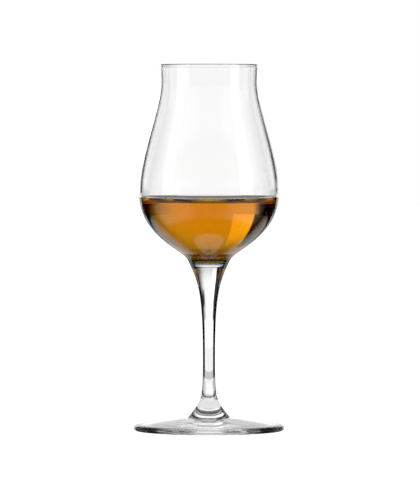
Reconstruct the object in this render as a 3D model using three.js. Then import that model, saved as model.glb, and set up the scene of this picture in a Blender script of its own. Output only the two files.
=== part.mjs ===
// A stemmed whisky glass with a pour in it: millimetres, +Z up, standing on z = 0.
// Every piece is round, so each is drawn as its section beside the axis (radius, height) and turned about Z.
import * as THREE from 'three';

// Foot: a pressed disc with a round edge, hollowed underneath so that it stands on a flat ring
const FOOT_DIAMETER = 72.2;
const FOOT_SEAT_HEIGHT = 6.3;
const FOOT_EDGE_THICKNESS = 2.9;
const FOOT_EDGE_WIDEST_HEIGHT = 1.2;
const FOOT_EDGE_DEPTH = 1.7;
const FOOT_RING_WIDTH = 3;
const FOOT_HOLLOW_DEPTH = 1.4;
const FOOT_RIM_SLOPE = 6;
const FOOT_HUB_SLOPE = 10;

// Stem: drawn glass with a slim waist, flared on to the foot and up to a shoulder that is smoothed on to the bowl
const STEM_LENGTH = 72.2;
const STEM_WAIST_DIAMETER = 5.9;
const STEM_WAIST_HEIGHT = 27.7;
const STEM_BASE_DIAMETER = 20.2;
const STEM_BASE_SLOPE = 53;
const STEM_SHOULDER_DIAMETER = 20.4;
const STEM_SHOULDER_DEPTH = 3;
const STEM_SHOULDER_SLOPE = 63;
const STEM_TOP_DIAMETER = 26;
const STEM_TOP_SLOPE = 40;

// Bowl: blown glass, full below and drawn in to a straight neck with a fire-polished rim
const BOWL_HEIGHT = 97;
const BOWL_BELLY_DIAMETER = 67.4;
const BOWL_BELLY_HEIGHT = 36.3;
const BOWL_NECK_DIAMETER = 46.5;
const BOWL_NECK_DEPTH = 9.4;
const BOWL_RIM_DIAMETER = 46.8;
const BOWL_SEAT_SLOPE = 33;
const BOWL_FLOOR_WALL = 1.5;
const BOWL_SEAT_WALL = 1.9;
const BOWL_BELLY_WALL = 1.5;
const BOWL_RIM_WALL = 0.9;

// Whisky: a pour that wets the bowl, with a flat surface that climbs the glass in a meniscus
const WHISKY_DEPTH = 29.5;
const MENISCUS_RISE = 2.5;
const MENISCUS_WIDTH = 6;
const MENISCUS_CONTACT_SLOPE = 48;

// Sweep of each curve: how far its end handles reach, as a share of that curve's own height or radius
const BOWL_POINTEDNESS = 0.747;
const BOWL_FLOOR_SWEEP = 0.835;
const BOWL_FLOOR_RISE_SWEEP = 0.25;
const BOWL_SEAT_SWEEP = 0.44;
const BOWL_BELLY_SWEEP_DOWN = 0.505;
const BOWL_BELLY_SWEEP_UP = 0.32;
const BOWL_NECK_SWEEP = 0.205;
const BOWL_LIP_SWEEP = 0.4;
const STEM_TOP_SWEEP = 0.4;
const STEM_SHOULDER_SWEEP = 0.25;
const STEM_WAIST_SWEEP_UP = 0.64;
const STEM_WAIST_SWEEP_DOWN = 0.76;
const STEM_BASE_SWEEP = 0.36;
const FOOT_TOP_SWEEP = 0.35;
const MENISCUS_CONTACT_SWEEP = 0.7;
const MENISCUS_FLAT_SWEEP = 0.6;

// Facets round the axis, and the longest facet along a section
const FACETS_ROUND = 48;
const FACET_LENGTH = 3.8;
const EDGE_FACETS = 4;
const MENISCUS_FACETS = 5;

// Fineness of what is measured along the inside of the bowl
const LENGTH_SAMPLES = 40;
const PLACE_TOLERANCE = 1e-9;

const radians = THREE.MathUtils.degToRad;
const point = (radius, height) => new THREE.Vector2(radius, height);

// The point at a distance from another, in a direction given in degrees above the outward horizontal
function along(start, degrees, distance) {
  const angle = radians(degrees);
  return point(start.x + distance * Math.cos(angle), start.y + distance * Math.sin(angle));
}

function facetsOf(curve) {
  const count = Math.ceil(curve.getLength() / FACET_LENGTH);
  return curve.getPoints(count);
}

// Points of several stretches in a row, with each shared end kept once
function joined(...stretches) {
  return stretches.flat().filter((p, i, all) => i === 0 || !p.equals(all[i - 1]));
}

function turned(section) {
  return new THREE.LatheGeometry(section, FACETS_ROUND).rotateX(Math.PI / 2);
}

// Landmarks where the pieces meet and where the outline turns
const stemBase = point(STEM_BASE_DIAMETER / 2, FOOT_SEAT_HEIGHT);
const stemWaist = point(STEM_WAIST_DIAMETER / 2, FOOT_SEAT_HEIGHT + STEM_WAIST_HEIGHT);
const bowlPole = point(0, FOOT_SEAT_HEIGHT + STEM_LENGTH);
const seatCone = STEM_TOP_DIAMETER / 2 * Math.tan(radians(BOWL_SEAT_SLOPE));
const bowlSeat = point(STEM_TOP_DIAMETER / 2, bowlPole.y + BOWL_POINTEDNESS * seatCone);
const stemShoulder = point(STEM_SHOULDER_DIAMETER / 2, bowlSeat.y - STEM_SHOULDER_DEPTH);
const bowlBelly = point(BOWL_BELLY_DIAMETER / 2, bowlPole.y + BOWL_BELLY_HEIGHT);
const bowlNeck = point(BOWL_NECK_DIAMETER / 2, bowlPole.y + BOWL_HEIGHT - BOWL_NECK_DEPTH);
const bowlRim = point(BOWL_RIM_DIAMETER / 2, bowlPole.y + BOWL_HEIGHT - BOWL_RIM_WALL / 2);

// Outside of the bowl, from pole to rim: the seat on the stem, the lower half, the upper half and the lip
function bowlOutside() {
  const lowerHeight = bowlBelly.y - bowlSeat.y;
  const upperHeight = bowlNeck.y - bowlBelly.y;
  const lipHeight = bowlRim.y - bowlNeck.y;
  const up = (start, height) => along(start, 90, height);
  const roundBottom = point(bowlSeat.x * (1 - BOWL_POINTEDNESS), bowlPole.y);
  return [
    new THREE.QuadraticBezierCurve(bowlPole, roundBottom, bowlSeat),
    new THREE.CubicBezierCurve(
      bowlSeat, along(bowlSeat, BOWL_SEAT_SLOPE, BOWL_SEAT_SWEEP * lowerHeight),
      up(bowlBelly, -BOWL_BELLY_SWEEP_DOWN * lowerHeight), bowlBelly),
    new THREE.CubicBezierCurve(
      bowlBelly, up(bowlBelly, BOWL_BELLY_SWEEP_UP * upperHeight),
      up(bowlNeck, -BOWL_NECK_SWEEP * upperHeight), bowlNeck),
    new THREE.CubicBezierCurve(
      bowlNeck, up(bowlNeck, BOWL_LIP_SWEEP * lipHeight),
      up(bowlRim, -BOWL_LIP_SWEEP * lipHeight), bowlRim),
  ];
}

const outside = bowlOutside();
const seatPoints = facetsOf(outside[0]);

function wallAt(height) {
  const { lerp, smoothstep } = THREE.MathUtils;
  if (height < bowlBelly.y) {
    return lerp(BOWL_SEAT_WALL, BOWL_BELLY_WALL, smoothstep(height, bowlSeat.y, bowlBelly.y));
  }
  return lerp(BOWL_BELLY_WALL, BOWL_RIM_WALL, smoothstep(height, bowlBelly.y, bowlRim.y));
}

// Inside of the bowl's wall, square to the outside: place 1 is over the seat, and each curve from there adds 1
function wallInsideAt(place) {
  const index = Math.min(Math.floor(place), outside.length - 1);
  const outer = outside[index].getPoint(place - index);
  const tangent = outside[index].getTangent(place - index);
  const wall = wallAt(outer.y);
  return point(outer.x - wall * tangent.y, outer.y + wall * tangent.x);
}

// Floor of the bowl, from its pole (place 0) to the wall over the seat (place 1)
const floorPole = point(0, bowlPole.y + BOWL_FLOOR_WALL);
const floorEdge = wallInsideAt(1);
const floor = new THREE.CubicBezierCurve(
  floorPole, along(floorPole, 0, BOWL_FLOOR_SWEEP * floorEdge.x),
  along(floorEdge, BOWL_SEAT_SLOPE - 180, BOWL_FLOOR_RISE_SWEEP * floorEdge.x), floorEdge);

function insideAt(place) {
  return place < 1 ? floor.getPoint(place) : wallInsideAt(place);
}

// Place on the inside wall at a height, found by halving
function placeAtHeight(height) {
  let low = 0;
  let high = outside.length;
  while (high - low > PLACE_TOLERANCE) {
    const middle = (low + high) / 2;
    if (insideAt(middle).y < height) low = middle;
    else high = middle;
  }
  return low;
}

// Inside wall between two places, stepped as finely as the outside
function insidePoints(from, to) {
  const placeOf = (share) => from + (to - from) * share;
  const stepped = (steps) => Array.from({ length: steps + 1 }, (_, i) => insideAt(placeOf(i / steps)));
  const trace = stepped(LENGTH_SAMPLES);
  const length = trace.slice(1).reduce((sum, p, i) => sum + p.distanceTo(trace[i]), 0);
  return stepped(Math.ceil(length / FACET_LENGTH));
}

// The wetted wall ends at the contact line, which the bowl and the whisky share
const whiskyLevel = insideAt(0).y + WHISKY_DEPTH;
const contactPlace = placeAtHeight(whiskyLevel + MENISCUS_RISE);
const wettedWall = insidePoints(0, contactPlace);
const dryWall = insidePoints(contactPlace, outside.length);

function bowlSection() {
  const innerRim = dryWall[dryWall.length - 1];
  const lipRadius = (bowlRim.x - innerRim.x) / 2;
  const lip = new THREE.EllipseCurve(bowlRim.x - lipRadius, bowlRim.y, lipRadius, lipRadius, 0, Math.PI);
  const overLip = lip.getPoints(EDGE_FACETS).slice(1, -1);
  return joined(...outside.map(facetsOf), overLip, dryWall.toReversed(), wettedWall.toReversed());
}

function stemSection() {
  const lowerHeight = stemWaist.y - stemBase.y;
  const upperHeight = stemShoulder.y - stemWaist.y;
  const shoulderSweep = STEM_TOP_SWEEP * STEM_SHOULDER_DEPTH;
  const lower = new THREE.CubicBezierCurve(
    stemBase, along(stemBase, 180 - STEM_BASE_SLOPE, STEM_BASE_SWEEP * lowerHeight),
    along(stemWaist, -90, STEM_WAIST_SWEEP_DOWN * lowerHeight), stemWaist);
  const upper = new THREE.CubicBezierCurve(
    stemWaist, along(stemWaist, 90, STEM_WAIST_SWEEP_UP * upperHeight),
    along(stemShoulder, STEM_SHOULDER_SLOPE - 180, STEM_SHOULDER_SWEEP * upperHeight), stemShoulder);
  const shoulder = new THREE.CubicBezierCurve(
    stemShoulder, along(stemShoulder, STEM_SHOULDER_SLOPE, shoulderSweep),
    along(bowlSeat, STEM_TOP_SLOPE - 180, shoulderSweep), bowlSeat);
  const base = [point(0, stemBase.y), stemBase];
  return joined(
    base, facetsOf(lower), facetsOf(upper), shoulder.getPoints(EDGE_FACETS), seatPoints.toReversed());
}

function footSection() {
  const edgeRadius = FOOT_DIAMETER / 2 - FOOT_EDGE_DEPTH;
  const overHeight = FOOT_EDGE_THICKNESS - FOOT_EDGE_WIDEST_HEIGHT;
  const ringInside = point(edgeRadius - FOOT_RING_WIDTH, 0);
  const hollow = new THREE.QuadraticBezierCurve(
    point(0, FOOT_HOLLOW_DEPTH), point(ringInside.x / 2, FOOT_HOLLOW_DEPTH), ringInside);
  const edge = (height, from, to) => new THREE.EllipseCurve(
    edgeRadius, FOOT_EDGE_WIDEST_HEIGHT, FOOT_EDGE_DEPTH, height, from, to).getPoints(EDGE_FACETS);
  // The round over the edge stops where it has the slope of the top, which then runs on from it
  const stop = Math.atan2(overHeight, FOOT_EDGE_DEPTH * Math.tan(radians(FOOT_RIM_SLOPE)));
  const underEdge = edge(FOOT_EDGE_WIDEST_HEIGHT, -Math.PI / 2, 0);
  const overEdge = edge(overHeight, 0, stop);
  const topEdge = overEdge[EDGE_FACETS];
  const topSweep = FOOT_TOP_SWEEP * (topEdge.x - stemBase.x);
  const top = new THREE.CubicBezierCurve(
    topEdge, along(topEdge, 180 - FOOT_RIM_SLOPE, topSweep),
    along(stemBase, -FOOT_HUB_SLOPE, topSweep), stemBase);
  return joined(
    facetsOf(hollow), [point(edgeRadius, 0)], underEdge.slice(1, -1), overEdge,
    facetsOf(top).slice(1), [point(0, stemBase.y)]);
}

function whiskySection() {
  const contact = wettedWall[wettedWall.length - 1];
  const flatEdge = point(contact.x - MENISCUS_WIDTH, whiskyLevel);
  const meniscus = new THREE.CubicBezierCurve(
    contact, along(contact, MENISCUS_CONTACT_SLOPE - 180, MENISCUS_CONTACT_SWEEP * MENISCUS_RISE),
    point(flatEdge.x + MENISCUS_FLAT_SWEEP * MENISCUS_WIDTH, whiskyLevel), flatEdge);
  return joined(wettedWall, meniscus.getPoints(MENISCUS_FACETS), [point(0, whiskyLevel)]);
}

function clearGlass() {
  return new THREE.MeshStandardMaterial({
    color: 0xf2f5f5, roughness: 0.05, metalness: 0, transparent: true, opacity: 0.3 });
}

function amberWhisky() {
  return new THREE.MeshStandardMaterial({
    color: 0xd07b04, roughness: 0.05, metalness: 0, transparent: true, opacity: 0.8 });
}

function piece(name, section, material) {
  const mesh = new THREE.Mesh(turned(section), material);
  mesh.name = name;
  return mesh;
}

const whiskyGlass = new THREE.Group();
whiskyGlass.add(
  piece('foot', footSection(), clearGlass()),
  piece('stem', stemSection(), clearGlass()),
  piece('bowl', bowlSection(), clearGlass()),
  piece('whisky', whiskySection(), amberWhisky()),
);

export default whiskyGlass;
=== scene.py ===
# %% [markdown]
# # A whisky glass on a white table
# The glass comes in as four closed solids: the blown bowl, the drawn stem, the pressed foot and the pour
# of whisky. They are the frame of this lesson. They never move, and the shapes below are read from them.
# %% The frame
import math
import bpy
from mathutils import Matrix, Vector


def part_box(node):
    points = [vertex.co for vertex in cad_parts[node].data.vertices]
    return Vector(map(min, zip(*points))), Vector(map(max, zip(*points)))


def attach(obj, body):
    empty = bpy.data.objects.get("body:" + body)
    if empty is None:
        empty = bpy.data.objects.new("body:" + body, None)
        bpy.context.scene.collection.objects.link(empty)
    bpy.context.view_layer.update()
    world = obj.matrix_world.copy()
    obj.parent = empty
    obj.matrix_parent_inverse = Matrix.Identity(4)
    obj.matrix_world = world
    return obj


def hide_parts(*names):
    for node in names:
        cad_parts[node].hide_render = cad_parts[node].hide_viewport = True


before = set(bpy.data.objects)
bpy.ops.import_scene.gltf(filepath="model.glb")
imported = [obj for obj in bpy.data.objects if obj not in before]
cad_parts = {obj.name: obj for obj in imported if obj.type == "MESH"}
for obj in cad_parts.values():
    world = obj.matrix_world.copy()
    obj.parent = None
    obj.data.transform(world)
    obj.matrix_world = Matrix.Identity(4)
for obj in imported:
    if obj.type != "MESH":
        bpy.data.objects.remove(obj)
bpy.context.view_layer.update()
print("in the frame:", sorted(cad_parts))

# %% [markdown]
# ## Where the pieces meet
# On the bench, stem and foot are fused to the bowl while the glass is soft, so a weld is glass all the
# way through. The pour wets the bowl's wall up to a line. These places are where one finish ends and the
# next starts, so they are measured first, from the boxes round the solids.
# %% The welds and the wet line
TOUCH = 1e-6
table_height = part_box("foot")[0].z
seat_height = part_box("foot")[1].z
seam_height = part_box("stem")[1].z
bowl_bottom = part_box("bowl")[0].z
rim_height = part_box("bowl")[1].z
wet_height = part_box("whisky")[1].z
print(f"seat {seat_height:.4f}, seam {seam_height:.4f}, wet line {wet_height:.4f}, rim {rim_height:.4f} m")

# %% [markdown]
# ## One section, one turn
# Every piece of this glass is round, because it was blown, drawn or pressed while it turned. In Blender a
# round piece can be a cylinder that is scaled ring by ring, a curve with a Screw modifier, or a section
# that the Spin tool takes once round. The solids have few facets, and glass shows every facet twice, so
# the section is the best start: it is cut out of a copy of the solid, its points become a Bezier curve
# with automatic handles, and the fine curve is spun.
# %% Cutting out a section
def only(piece):
    """Leave one object selected and active, whatever was selected before."""
    bpy.ops.object.select_all(action="DESELECT")
    piece.select_set(True)
    bpy.context.view_layer.objects.active = piece


def pick(piece, wanted):
    """Go into edit mode with just those vertices selected whose place passes a test."""
    bpy.ops.object.mode_set(mode="EDIT")
    bpy.ops.mesh.select_mode(type="VERT")
    bpy.ops.mesh.select_all(action="DESELECT")
    bpy.ops.object.mode_set(mode="OBJECT")
    for vertex in piece.data.vertices:
        vertex.select = wanted(vertex.co)
    bpy.ops.object.mode_set(mode="EDIT")


def cut_section(node, name):
    """Copy a solid, merge its loose triangles, and keep only the outline where the plane y = 0 cuts it."""
    piece = bpy.data.objects.new(name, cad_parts[node].data.copy())
    bpy.context.collection.objects.link(piece)
    piece.data.materials.clear()
    only(piece)
    pick(piece, lambda place: True)
    bpy.ops.mesh.remove_doubles(threshold=TOUCH)
    bpy.ops.object.mode_set(mode="OBJECT")
    pick(piece, lambda place: abs(place.y) > TOUCH)
    bpy.ops.mesh.delete(type="VERT")
    bpy.ops.object.mode_set(mode="OBJECT")
    print(f"{name}: section of {len(piece.data.vertices)} points and {len(piece.data.edges)} edges")
    return piece


# %% Rounding the section
STEPS_BETWEEN_POINTS = 6


def round_section(piece, corner_heights):
    """Make the outline a Bezier curve: smooth, except at the heights where the piece has an edge."""
    only(piece)
    bpy.ops.object.convert(target="CURVE")
    curve = bpy.context.object
    curve.data.resolution_u = STEPS_BETWEEN_POINTS
    bpy.ops.object.mode_set(mode="EDIT")
    bpy.ops.curve.select_all(action="SELECT")
    bpy.ops.curve.spline_type_set(type="BEZIER")
    bpy.ops.curve.handle_type_set(type="AUTOMATIC")
    bpy.ops.curve.select_all(action="DESELECT")
    corners = 0
    for point in curve.data.splines[0].bezier_points:
        if any(abs(point.co.z - height) < TOUCH for height in corner_heights):
            point.select_control_point = True
            point.select_left_handle = True
            point.select_right_handle = True
            corners += 1
    if corners:
        bpy.ops.curve.handle_type_set(type="VECTOR")
    bpy.ops.object.mode_set(mode="OBJECT")
    bpy.ops.object.convert(target="MESH")
    print(f"{curve.name}: {len(curve.data.vertices)} points on the rounded section, {corners} corners kept")
    return bpy.context.object


# %% Spinning the section
STEPS_ROUND = 160
EDGE_ANGLE = math.radians(35)


def spin_section(piece):
    """Drop the outline's left half, spin the right half round the axis, and close the seam and poles."""
    only(piece)
    pick(piece, lambda place: place.x < -TOUCH)
    bpy.ops.mesh.delete(type="VERT")
    bpy.ops.object.mode_set(mode="OBJECT")
    pick(piece, lambda place: True)
    bpy.ops.mesh.spin(steps=STEPS_ROUND, angle=math.tau, center=(0, 0, 0), axis=(0, 0, 1))
    bpy.ops.mesh.select_all(action="SELECT")
    bpy.ops.mesh.remove_doubles(threshold=TOUCH)
    bpy.ops.mesh.normals_make_consistent(inside=False)
    bpy.ops.object.mode_set(mode="OBJECT")
    bpy.ops.object.shade_smooth_by_angle(angle=EDGE_ANGLE)
    piece.data.name = piece.name
    print(f"{piece.name}: {len(piece.data.polygons)} faces")
    return piece


def turned(node, name, corner_heights=()):
    """A round piece: the section of a solid, rounded and spun, riding where the solid is."""
    piece = spin_section(round_section(cut_section(node, name), corner_heights))
    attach(piece, "root")
    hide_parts(node)
    return piece


# %% [markdown]
# ## The four pieces
# The bowl has no edge at all: the rim was melted round in the fire, and the wall runs smoothly into the
# bottom. The stem ends in two edges, the seam under the bowl and the flat face on the foot. The foot has
# its seat and the flat ring that it stands on. The pour has the wet line, where its surface climbs the
# wall, and its flat level.
# %% Turning the pieces
pour_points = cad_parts["whisky"].data.vertices
level_height = max(v.co.z for v in pour_points if math.hypot(v.co.x, v.co.y) < TOUCH)

glass_bowl = turned("bowl", "glass_bowl")
glass_stem = turned("stem", "glass_stem", (seat_height, seam_height))
glass_foot = turned("foot", "glass_foot", (table_height, seat_height))
whisky_pour = turned("whisky", "whisky_pour", (level_height, wet_height))

# %% [markdown]
# In the real glass, whisky and wall share one surface. A renderer can't tell which of two equal surfaces
# comes first, so the pour's skin is drawn in by a hair's breadth. Scaling would draw the wide parts in
# more than the narrow ones, so a Displace modifier does it, along the normals.
# %% The gap round the pour
POUR_GAP = 0.00005
only(whisky_pour)
shrink = whisky_pour.modifiers.new("gap to the wall", "DISPLACE")
shrink.strength = -POUR_GAP
shrink.mid_level = 0.0
bpy.ops.object.modifier_apply(modifier=shrink.name)
print(f"{whisky_pour.name}: {POUR_GAP * 1000} mm inside the wall")

# %% [markdown]
# ## Shader sums in plain Python
# A node tree for a waviness or for a studio is a sum of many small terms, and drawn as nodes nobody can
# read it. This class holds one socket. Its operators add Math nodes, and its method node adds any other
# node.
# %% A socket that can be reckoned with
class Wire:
    """An output socket of a node tree, with + - * / and > that add Math nodes."""

    def __init__(self, tree, socket=None):
        self.tree = tree
        self.socket = socket

    def node(self, kind, settings=None, sockets=None, out=0):
        """Add a node: settings first, then values or links of its sockets. Gives one of its outputs."""
        made = self.tree.nodes.new(kind)
        for name, value in (settings or {}).items():
            setattr(made, name, value)
        for name, value in (sockets or {}).items():
            if isinstance(value, Wire):
                self.tree.links.new(value.socket, made.inputs[name])
            else:
                made.inputs[name].default_value = value
        return Wire(self.tree, made.outputs[out])

    def math(self, operation, *values):
        """Add a Math node."""
        return self.node("ShaderNodeMath", {"operation": operation}, dict(enumerate(values)))

    def __add__(self, other):
        return self.math("ADD", self, other)

    def __sub__(self, other):
        return self.math("SUBTRACT", self, other)

    def __rsub__(self, other):
        return self.math("SUBTRACT", other, self)

    def __mul__(self, other):
        return self.math("MULTIPLY", self, other)

    def __truediv__(self, other):
        return self.math("DIVIDE", self, other)

    def __gt__(self, other):
        return self.math("GREATER_THAN", self, other)

    __radd__ = __add__
    __rmul__ = __mul__

    def ramp(self, start, end):
        """0 below start, 1 above end, with a soft rise between them."""
        return self.node(
            "ShaderNodeMapRange",
            {"interpolation_type": "SMOOTHSTEP"},
            {"Value": self, "From Min": start, "From Max": end},
        )

    def xyz(self):
        """The three parts of a vector."""
        apart = self.node("ShaderNodeSeparateXYZ", None, {0: self})
        return [Wire(self.tree, socket) for socket in apart.socket.node.outputs]

    def into(self, node, socket):
        """Link this socket to an input of a node that is in the tree already."""
        self.tree.links.new(self.socket, self.tree.nodes[node].inputs[socket])


# %% [markdown]
# ## Clear glass
# Clean soda glass has no colour of its own: one sees its edges, where it bends the light from the side.
# So the finish is the shape of the surface, and that tells how a piece was made. The blown wall has a
# slow waviness, drawn out along the axis. The stem was pulled, and has fine lines along it. The foot was
# pressed, and keeps the faint dimples of the cold mould. All of them are a few thousandths of a
# millimetre deep, so a bump is enough: it turns the light, and the outline stays as it is.
# %% The glass
GLASS_IOR = 1.52
WHITE = (1.0, 1.0, 1.0, 1.0)


def glass(name, ior, ripple, marks):
    """A clear finish: light goes through, and a noise with so many marks to the metre bends it a little."""
    material = bpy.data.materials.new(name)
    material.use_nodes = True
    shader = material.node_tree.nodes["Principled BSDF"]
    shader.inputs["Base Color"].default_value = WHITE
    shader.inputs["Roughness"].default_value = 0.0
    shader.inputs["IOR"].default_value = ior
    shader.inputs["Transmission Weight"].default_value = 1.0
    start = Wire(material.node_tree)
    place = start.node("ShaderNodeTexCoord", out="Object")
    spread = start.node("ShaderNodeMapping", None, {"Vector": place, "Scale": marks})
    noise = start.node("ShaderNodeTexNoise", None, {"Vector": spread, "Scale": 1.0, "Detail": 1.0})
    bump = start.node("ShaderNodeBump", None, {"Height": noise, "Strength": 1.0, "Distance": ripple})
    bump.into("Principled BSDF", "Normal")
    print(f"{name}: index {ior:.3f}, ripple {ripple * 1e6:.1f} thousandths of a millimetre")
    return material


BLOWN_RIPPLE = 6e-6
BLOWN_MARKS = (90.0, 90.0, 22.0)
DRAWN_RIPPLE = 1e-6
DRAWN_MARKS = (600.0, 600.0, 15.0)
PRESSED_RIPPLE = 2e-6
PRESSED_MARKS = (150.0, 150.0, 150.0)
blown_glass = glass("blown_glass", GLASS_IOR, BLOWN_RIPPLE, BLOWN_MARKS)
drawn_glass = glass("drawn_glass", GLASS_IOR, DRAWN_RIPPLE, DRAWN_MARKS)
pressed_glass = glass("pressed_glass", GLASS_IOR, PRESSED_RIPPLE, PRESSED_MARKS)

# %% [markdown]
# The foot's resting ring is the one place that touches tables and trays, so it is the one place that is
# scuffed: tiny specks where the polish is gone. They are too fine for the mesh, so they are a roughness
# that ends just above the table.
# %% The scuffed ring
SCUFF_ROUGHNESS = 0.2
SCUFF_HEIGHT = 0.0003
SPECK_SCALE = 900.0
SPECK_DETAIL = 3.0
SPECK_EDGE = (0.5, 0.65)
start = Wire(pressed_glass.node_tree)
place = start.node("ShaderNodeTexCoord", out="Object")
height = place.xyz()[2]
speckle = {"Vector": place, "Scale": SPECK_SCALE, "Detail": SPECK_DETAIL}
specks = start.node("ShaderNodeTexNoise", None, speckle).ramp(*SPECK_EDGE)
scuffs = SCUFF_ROUGHNESS * specks * (1 - height.ramp(SCUFF_HEIGHT / 3, SCUFF_HEIGHT))
scuffs.into("Principled BSDF", "Roughness")
print("scuffs: up to", SCUFF_HEIGHT * 1000, "mm above the table")

# %% [markdown]
# ## The welds
# A weld is glass all the way through, so its two faces let light pass as if they weren't there. Joining
# the solids would lose the separate pieces, so the faces get a material that light goes straight through.
# Round its edge, the seam under the bowl has a crease that bends light aside and looks darker. It is too
# fine for the section, so that darkness is painted shade: a face that dims the light stands for it.
# %% The welds
# Painted shade for the crease: how far from the axis it starts, and the share of light it lets through.
CREASE_SHADE_FROM = 0.005
CREASE_SHADE_SHARE = 0.55


def bare_material(name):
    """A new material without a shader yet, and a wire to start its nodes from."""
    material = bpy.data.materials.new(name)
    material.use_nodes = True
    material.node_tree.nodes.remove(material.node_tree.nodes["Principled BSDF"])
    return material, Wire(material.node_tree)


def see_through(name, share):
    """A face that a share of the light passes, straight on."""
    material, start = bare_material(name)
    clear = start.node("ShaderNodeBsdfTransparent", None, {"Color": (share, share, share, 1.0)})
    clear.into("Material Output", "Surface")
    print(f"{name}: {share:.0%} of the light goes through a face")
    return material


weld = see_through("weld", 1.0)
# Painted shade: a face that dims the light where the crease round the seam looks darker.
film = see_through("film", CREASE_SHADE_SHARE)

# %% [markdown]
# ## Whisky and the wet wall
# Whisky is a clear liquid: its colour comes from the depth that one looks through, so it is an absorption
# in the volume and not a paint on the surface. Where the pour touches the wall there is no air, and light
# goes from glass straight into whisky. The bowl's wall takes that step there, with the quotient of the
# two indices, and the pour's own wall is left open, so that every ray crosses the right surfaces once.
# The open surface is never quite still. It is told from the wall by its normal, which points up. Cycles
# turns a normal round where a ray comes from inside, so it is turned back first.
# %% The whisky
WHISKY_IOR = 1.36
WHISKY_COLOUR = (0.93, 0.76, 0.0, 1.0)
WHISKY_DENSITY = 110.0
POUR_RIPPLE = 2e-6
POUR_MARKS = (120.0, 120.0, 120.0)

wetted_glass = glass("wetted_glass", GLASS_IOR / WHISKY_IOR, BLOWN_RIPPLE, BLOWN_MARKS)
amber_whisky = glass("amber_whisky", WHISKY_IOR, POUR_RIPPLE, POUR_MARKS)
start = Wire(amber_whisky.node_tree)
facing = start.node("ShaderNodeNewGeometry", out="True Normal").xyz()[2]
inside = start.node("ShaderNodeNewGeometry", out="Backfacing")
surface = facing * (1 - 2 * inside) > 0.0
surface.into("Principled BSDF", "Alpha")
depth = start.node("ShaderNodeVolumeAbsorption", None, {"Color": WHISKY_COLOUR, "Density": WHISKY_DENSITY})
depth.into("Material Output", "Volume")


# %% [markdown]
# ## Dressing the pieces
# A piece has one finish nearly all over, and others only where it meets its neighbour. A vertex group
# could hold those places, but a test on each face's place and normal says what they are.
# %% Dressing the pieces
def dress(piece, finishes):
    """Give a piece its finishes: each but the first goes on the faces that pass its test."""
    for material, wanted in finishes:
        piece.data.materials.append(material)
    for face in piece.data.polygons:
        for index, (material, wanted) in enumerate(finishes):
            if wanted and wanted(face.center, face.normal):
                face.material_index = index
    used = [sum(face.material_index == i for face in piece.data.polygons) for i in range(len(finishes))]
    print(f"{piece.name}: " + ", ".join(f"{m.name} {n}" for (m, wanted), n in zip(finishes, used)))


def wetted(place, normal):
    """On the bowl's inside, up to the wet line."""
    return place.z < wet_height and normal.z > 0


def under_bowl(place, normal):
    """On the bowl's outside, where the stem's cup holds it."""
    return place.z < seam_height and normal.z < 0


def in_cup(place, normal):
    """On the stem's cup, where the bowl sits."""
    return place.z > bowl_bottom - TOUCH and normal.z > 0


def at_edge(place):
    """In the outer part of the seam under the bowl."""
    return math.hypot(place.x, place.y) > CREASE_SHADE_FROM


dress(glass_bowl, [
    (blown_glass, None),
    (wetted_glass, wetted),
    (weld, under_bowl),
    # the painted shade of the crease, on the outer part of the seam
    (film, lambda place, normal: under_bowl(place, normal) and at_edge(place)),
])
dress(glass_stem, [
    (drawn_glass, None),
    (weld, lambda place, normal: in_cup(place, normal) or place.z < seat_height + TOUCH),
    # the painted shade of the crease, on the outer part of the seam
    (film, lambda place, normal: in_cup(place, normal) and at_edge(place)),
])
dress(glass_foot, [
    (pressed_glass, None),
    (weld, lambda place, normal: place.z > seat_height - TOUCH),
])
dress(whisky_pour, [(amber_whisky, None)])

# %% [markdown]
# ## The table
# The glass stands on a polished white table. The camera sees it burnt out to white, with a trace of the
# glass's shadow. What shows inside the glass is another matter: there the table is a pattern of pale and
# dark places, and the flatter one looks along it, the more its polish mirrors the studio. A lamp over
# each place would light the glass as well, so the table itself glows, for every ray but the camera's.
# %% The table top
TABLE_RADIUS = 6.0
TABLE_SIDES = 96
TABLE_GAP = 0.0001
bpy.ops.object.select_all(action="DESELECT")
bpy.ops.mesh.primitive_circle_add(vertices=TABLE_SIDES, radius=TABLE_RADIUS, fill_type="NGON",
                                  location=(0, 0, table_height - TABLE_GAP))
table = bpy.context.object
table.name = "table"
print("table:", len(table.data.vertices), "points round its edge")

# %% [markdown]
# Seen from the camera, a pool of light behind the glass fills the stem and the bottom of the bowl, and a
# soft spot under the foot fills the base of the stem. Beside the foot the table stays dark, which draws
# the foot's black ends. Further out it is pale again, so that the glass looks clear from its other sides
# too: less so in front, because the whisky mirrors that part. And whoever looks down through the foot
# sees a pale table.
# %% What the glass sees of the table
POOL_LEVEL = 1.0
POOL_PLACE = 0.16
POOL_WIDTH = 0.42
POOL_DEPTH = 0.21
POOL_SOFT = 0.2
SPOT_LEVEL = 0.58
SPOT_WIDTH = 0.036
SPOT_SOFT = 0.9
FAR_LEVEL = 0.85
FAR_RADIUS = (0.09, 0.13)
FAR_TURN = (68, 88)
FRONT_TURN = (140, 160)
FRONT_LOSS = 0.65
DOWN_LEVEL = 0.85
DOWN_RADIUS = (0.026, 0.035)
DOWN_SLANT = (0.7, 0.84)


def paint(level, mask, value):
    """Where the mask is 1 the level becomes the value."""
    return level + (value - level) * mask


def oval(right, back, width, depth, soft):
    """1 inside an oval patch round a place, 0 outside it."""
    across = right / (width / 2)
    along = back / (depth / 2)
    away = right.math("SQRT", across * across + along * along)
    return 1 - away.ramp(1 - soft, 1 + soft)


def turn_from_back(right, back):
    """The angle round the glass in degrees: 0 is behind it, and it grows to the right."""
    return right.math("ARCTAN2", right, back) * (180 / math.pi)


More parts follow.
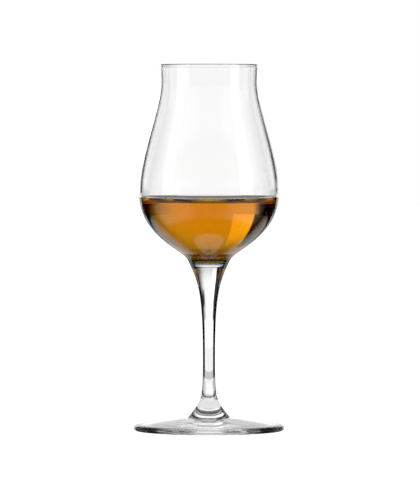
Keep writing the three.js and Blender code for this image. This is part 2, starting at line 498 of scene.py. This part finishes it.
white_table, start = bare_material("white_table")
right, back = start.node("ShaderNodeTexCoord", out="Object").xyz()[:2]
away = start.math("SQRT", right * right + back * back)
turn = start.math("ABSOLUTE", turn_from_back(right, back))
slant = start.node("ShaderNodeLayerWeight", None, {"Blend": 0.5}, out="Facing")
pool = POOL_LEVEL * oval(right, back - POOL_PLACE, POOL_WIDTH, POOL_DEPTH, POOL_SOFT)
pool = pool + SPOT_LEVEL * oval(right, back, SPOT_WIDTH, SPOT_WIDTH, SPOT_SOFT)
sides = turn.ramp(*FAR_TURN) * (1 - FRONT_LOSS * turn.ramp(*FRONT_TURN))
pool = pool + FAR_LEVEL * away.ramp(*FAR_RADIUS) * sides
looking_down = (1 - slant.ramp(*DOWN_SLANT)) * (1 - away.ramp(*DOWN_RADIUS))
pool = paint(pool, looking_down, DOWN_LEVEL)
print(f"table: pool {POOL_WIDTH} m wide, {POOL_PLACE} m behind the glass")

# %% The table's finish
TABLE_IOR = 1.5
TABLE_GLOW = 1.3
SHADOW_SHARE = 0.2
glow = start.node("ShaderNodeEmission", None, {"Color": pool, "Strength": 1.0})
mirror = start.node("ShaderNodeBsdfGlossy", None, {"Color": WHITE, "Roughness": 0.0})
polish = start.node("ShaderNodeFresnel", None, {"IOR": TABLE_IOR})
polished = start.node("ShaderNodeMixShader", None, {0: polish, 1: glow, 2: mirror})
lit = start.node("ShaderNodeEmission", None, {"Color": WHITE, "Strength": TABLE_GLOW})
shaded = start.node("ShaderNodeBsdfDiffuse", None, {"Color": WHITE})
plain = start.node("ShaderNodeMixShader", None, {0: SHADOW_SHARE, 1: lit, 2: shaded})
seen = start.node("ShaderNodeLightPath", out="Is Camera Ray")
both = start.node("ShaderNodeMixShader", None, {0: seen, 1: polished, 2: plain})
both.into("Material Output", "Surface")
table.data.materials.append(white_table)
print(f"{white_table.name}: {SHADOW_SHARE:.0%} of it takes the shadow")

# %% [markdown]
# ## The studio
# Glass is lit from behind: bright paper fills it, and black flags beside the paper draw its edges as thin
# dark lines. Each could be a lamp or a card of its own, but a ring of paper round the table carries them
# all: it glows where a sheet hangs, and stays black where a flag is. The sheets overlap, each higher than
# the last, and their left and right edges are hard or soft, as the edge lines of the bowl are. A lamp
# behind the left half makes the hot patch in the bowl. The camera looks through the ring.
# %% The ring of paper
RING_RADIUS = 1.0
RING_HEIGHT = 1.0
RING_SIDES = 128
bpy.ops.object.select_all(action="DESELECT")
bpy.ops.mesh.primitive_cylinder_add(vertices=RING_SIDES, radius=RING_RADIUS, depth=RING_HEIGHT,
                                    end_fill_type="NOTHING", location=(0, 0, 0))
ring = bpy.context.object
ring.name = "ring"
bpy.ops.transform.translate(value=(0, 0, RING_HEIGHT / 2))
bpy.ops.object.transform_apply(location=True, rotation=True, scale=True)
ring.visible_camera = False
print("ring:", len(ring.data.polygons), "sides")

# %% The sheets and the lamp
# A sheet is the turns over which its left edge comes in and its right edge goes out, in degrees, and its
# level.
LOW_SHEET = ((-32.5, -29.5), (29.5, 32.5), 1.06)
# A higher sheet also has the heights over which it takes over from the one below it.
HIGH_SHEETS = [
    ((0.06, 0.08), ((-28, -20), (8, 42), 1.11)),
    ((0.12, 0.16), ((-23.5, -21.5), (13, 27), 1.1)),
    ((0.22, 0.34), ((-24.5, -22.5), (10, 46), 1.1)),
]
DIM_RISE = (0.3, 1.0)
DIM_LOSS = 0.55
LAMP_LEVEL = 1.6
LAMP_LEFT = (-24.3, -22.7)
LAMP_RIGHT = (-11.3, -9.7)
LAMP_FOOT = (0.1, 0.25)
LAMP_TOP = (0.4, 0.9)


def between(value, rise, fall):
    """Rises from 0 to 1 over one stretch, and falls back to 0 over another."""
    return value.ramp(*rise) * (1 - value.ramp(*fall))


def sheet(turn, left_edge, right_edge, level):
    """The light of one sheet of paper, by the turn round the glass."""
    return between(turn, left_edge, right_edge) * level


paper, start = bare_material("paper")
right, back, up = start.node("ShaderNodeTexCoord", out="Object").xyz()
turn = turn_from_back(right, back)
light = sheet(turn, *LOW_SHEET)
for rise, high_sheet in HIGH_SHEETS:
    light = paint(light, up.ramp(*rise), sheet(turn, *high_sheet))
light = light * (1 - DIM_LOSS * up.ramp(*DIM_RISE))
lamp = between(turn, LAMP_LEFT, LAMP_RIGHT) * between(up, LAMP_FOOT, LAMP_TOP)
light = paint(light, lamp, LAMP_LEVEL)
glow = start.node("ShaderNodeEmission", None, {"Color": light, "Strength": 1.0})
glow.into("Material Output", "Surface")
ring.data.materials.append(paper)
print("paper:", 1 + len(HIGH_SHEETS), "sheets and a lamp")


# %% [markdown]
# Narrow lights stand nearer than the ring. The two in front draw the pale streaks down the bowl. The two
# at its sides are small and near, so that they lift the bowl's edge lines and leave stem and foot alone.
# A low card stands behind the glass, and fills the lower part of the stem.
# %% The narrow lights
def strip(name, turn, away, width, foot, height, level):
    """An upright light: turned so far to the left from behind the glass, and so far from its axis."""
    bpy.ops.object.select_all(action="DESELECT")
    bpy.ops.mesh.primitive_plane_add(size=1.0, location=(0, 0, 0))
    made = bpy.context.object
    made.name = name
    bpy.ops.transform.resize(value=(width, height, 1))
    bpy.ops.transform.rotate(value=math.radians(90), orient_axis="X", center_override=(0, 0, 0))
    bpy.ops.transform.translate(value=(0, away, foot + height / 2))
    bpy.ops.transform.rotate(value=math.radians(turn), orient_axis="Z", center_override=(0, 0, 0))
    bpy.ops.object.transform_apply(location=True, rotation=True, scale=True)
    made.visible_camera = False
    material, start = bare_material(name)
    glow = start.node("ShaderNodeEmission", None, {"Color": (level, level, level, 1.0), "Strength": 1.0})
    glow.into("Material Output", "Surface")
    made.data.materials.append(material)
    print(f"{name}: at {[round(v, 2) for v in made.data.vertices[0].co]}")


strip("front_left", turn=116, away=0.5, width=0.22, foot=0.07, height=0.3, level=0.9)
strip("front_right", turn=-109, away=0.5, width=0.17, foot=0.07, height=0.3, level=0.8)
strip("card_behind", turn=0, away=0.38, width=0.45, foot=0.0, height=0.025, level=0.97)
strip("side_left", turn=63, away=0.12, width=0.032, foot=0.118, height=0.08, level=0.65)
strip("side_right", turn=-64, away=0.12, width=0.04, foot=0.118, height=0.08, level=0.65)

# %% [markdown]
# Over the ring, the room's ceiling gives a little light from above. It is the world's colour, and the
# camera sees white in its place.
# %% The room
CEILING = 0.34
world = bpy.data.worlds.new("studio")
bpy.context.scene.world = world
world.use_nodes = True
start = Wire(world.node_tree)
seen = start.node("ShaderNodeLightPath", out="Is Camera Ray")
light = paint(CEILING, seen, 1.0)
light.into("Background", "Color")
world.node_tree.nodes["Background"].inputs["Strength"].default_value = 1.0
print(f"{world.name}: a ceiling at {CEILING:.0%} of white")

# %% [markdown]
# ## The camera
# The photograph was taken with a long lens from a little under the height of the rim: one looks up at the
# rim, level at the upper part of the bowl, and down on the whisky and on the foot. The frame is taller
# than wide, so the height of the picture at the glass and the distance give the lens.
# %% The camera
CAMERA_PLACE = Vector((0.0, -2.2, 0.147))
CAMERA_AIM = Vector((0.0005, 0.0, 0.08898))
PICTURE_HEIGHT = 0.2347
bpy.ops.object.camera_add(location=CAMERA_PLACE)
camera = bpy.context.object
camera.data.lens = camera.data.sensor_width * -CAMERA_PLACE.y / PICTURE_HEIGHT
camera.rotation_euler = (CAMERA_AIM - CAMERA_PLACE).to_track_quat("-Z", "Y").to_euler()
bpy.context.scene.camera = camera
bpy.context.scene.view_settings.view_transform = "Standard"
print(f"camera: {camera.data.lens:.0f} mm lens at {CAMERA_PLACE.length:.2f} m")

# %% [markdown]
# Light that goes to and fro inside the wall, the stem and the foot is turned many times before it leaves
# the glass, and every turn is a bounce. With too few of them such places come out black.
# %% The bounces
LIGHT_BOUNCES = 32
cycles = bpy.context.scene.cycles
cycles.max_bounces = LIGHT_BOUNCES
cycles.glossy_bounces = LIGHT_BOUNCES
cycles.transmission_bounces = LIGHT_BOUNCES
cycles.transparent_max_bounces = 2 * LIGHT_BOUNCES
print("bounces:", cycles.max_bounces)
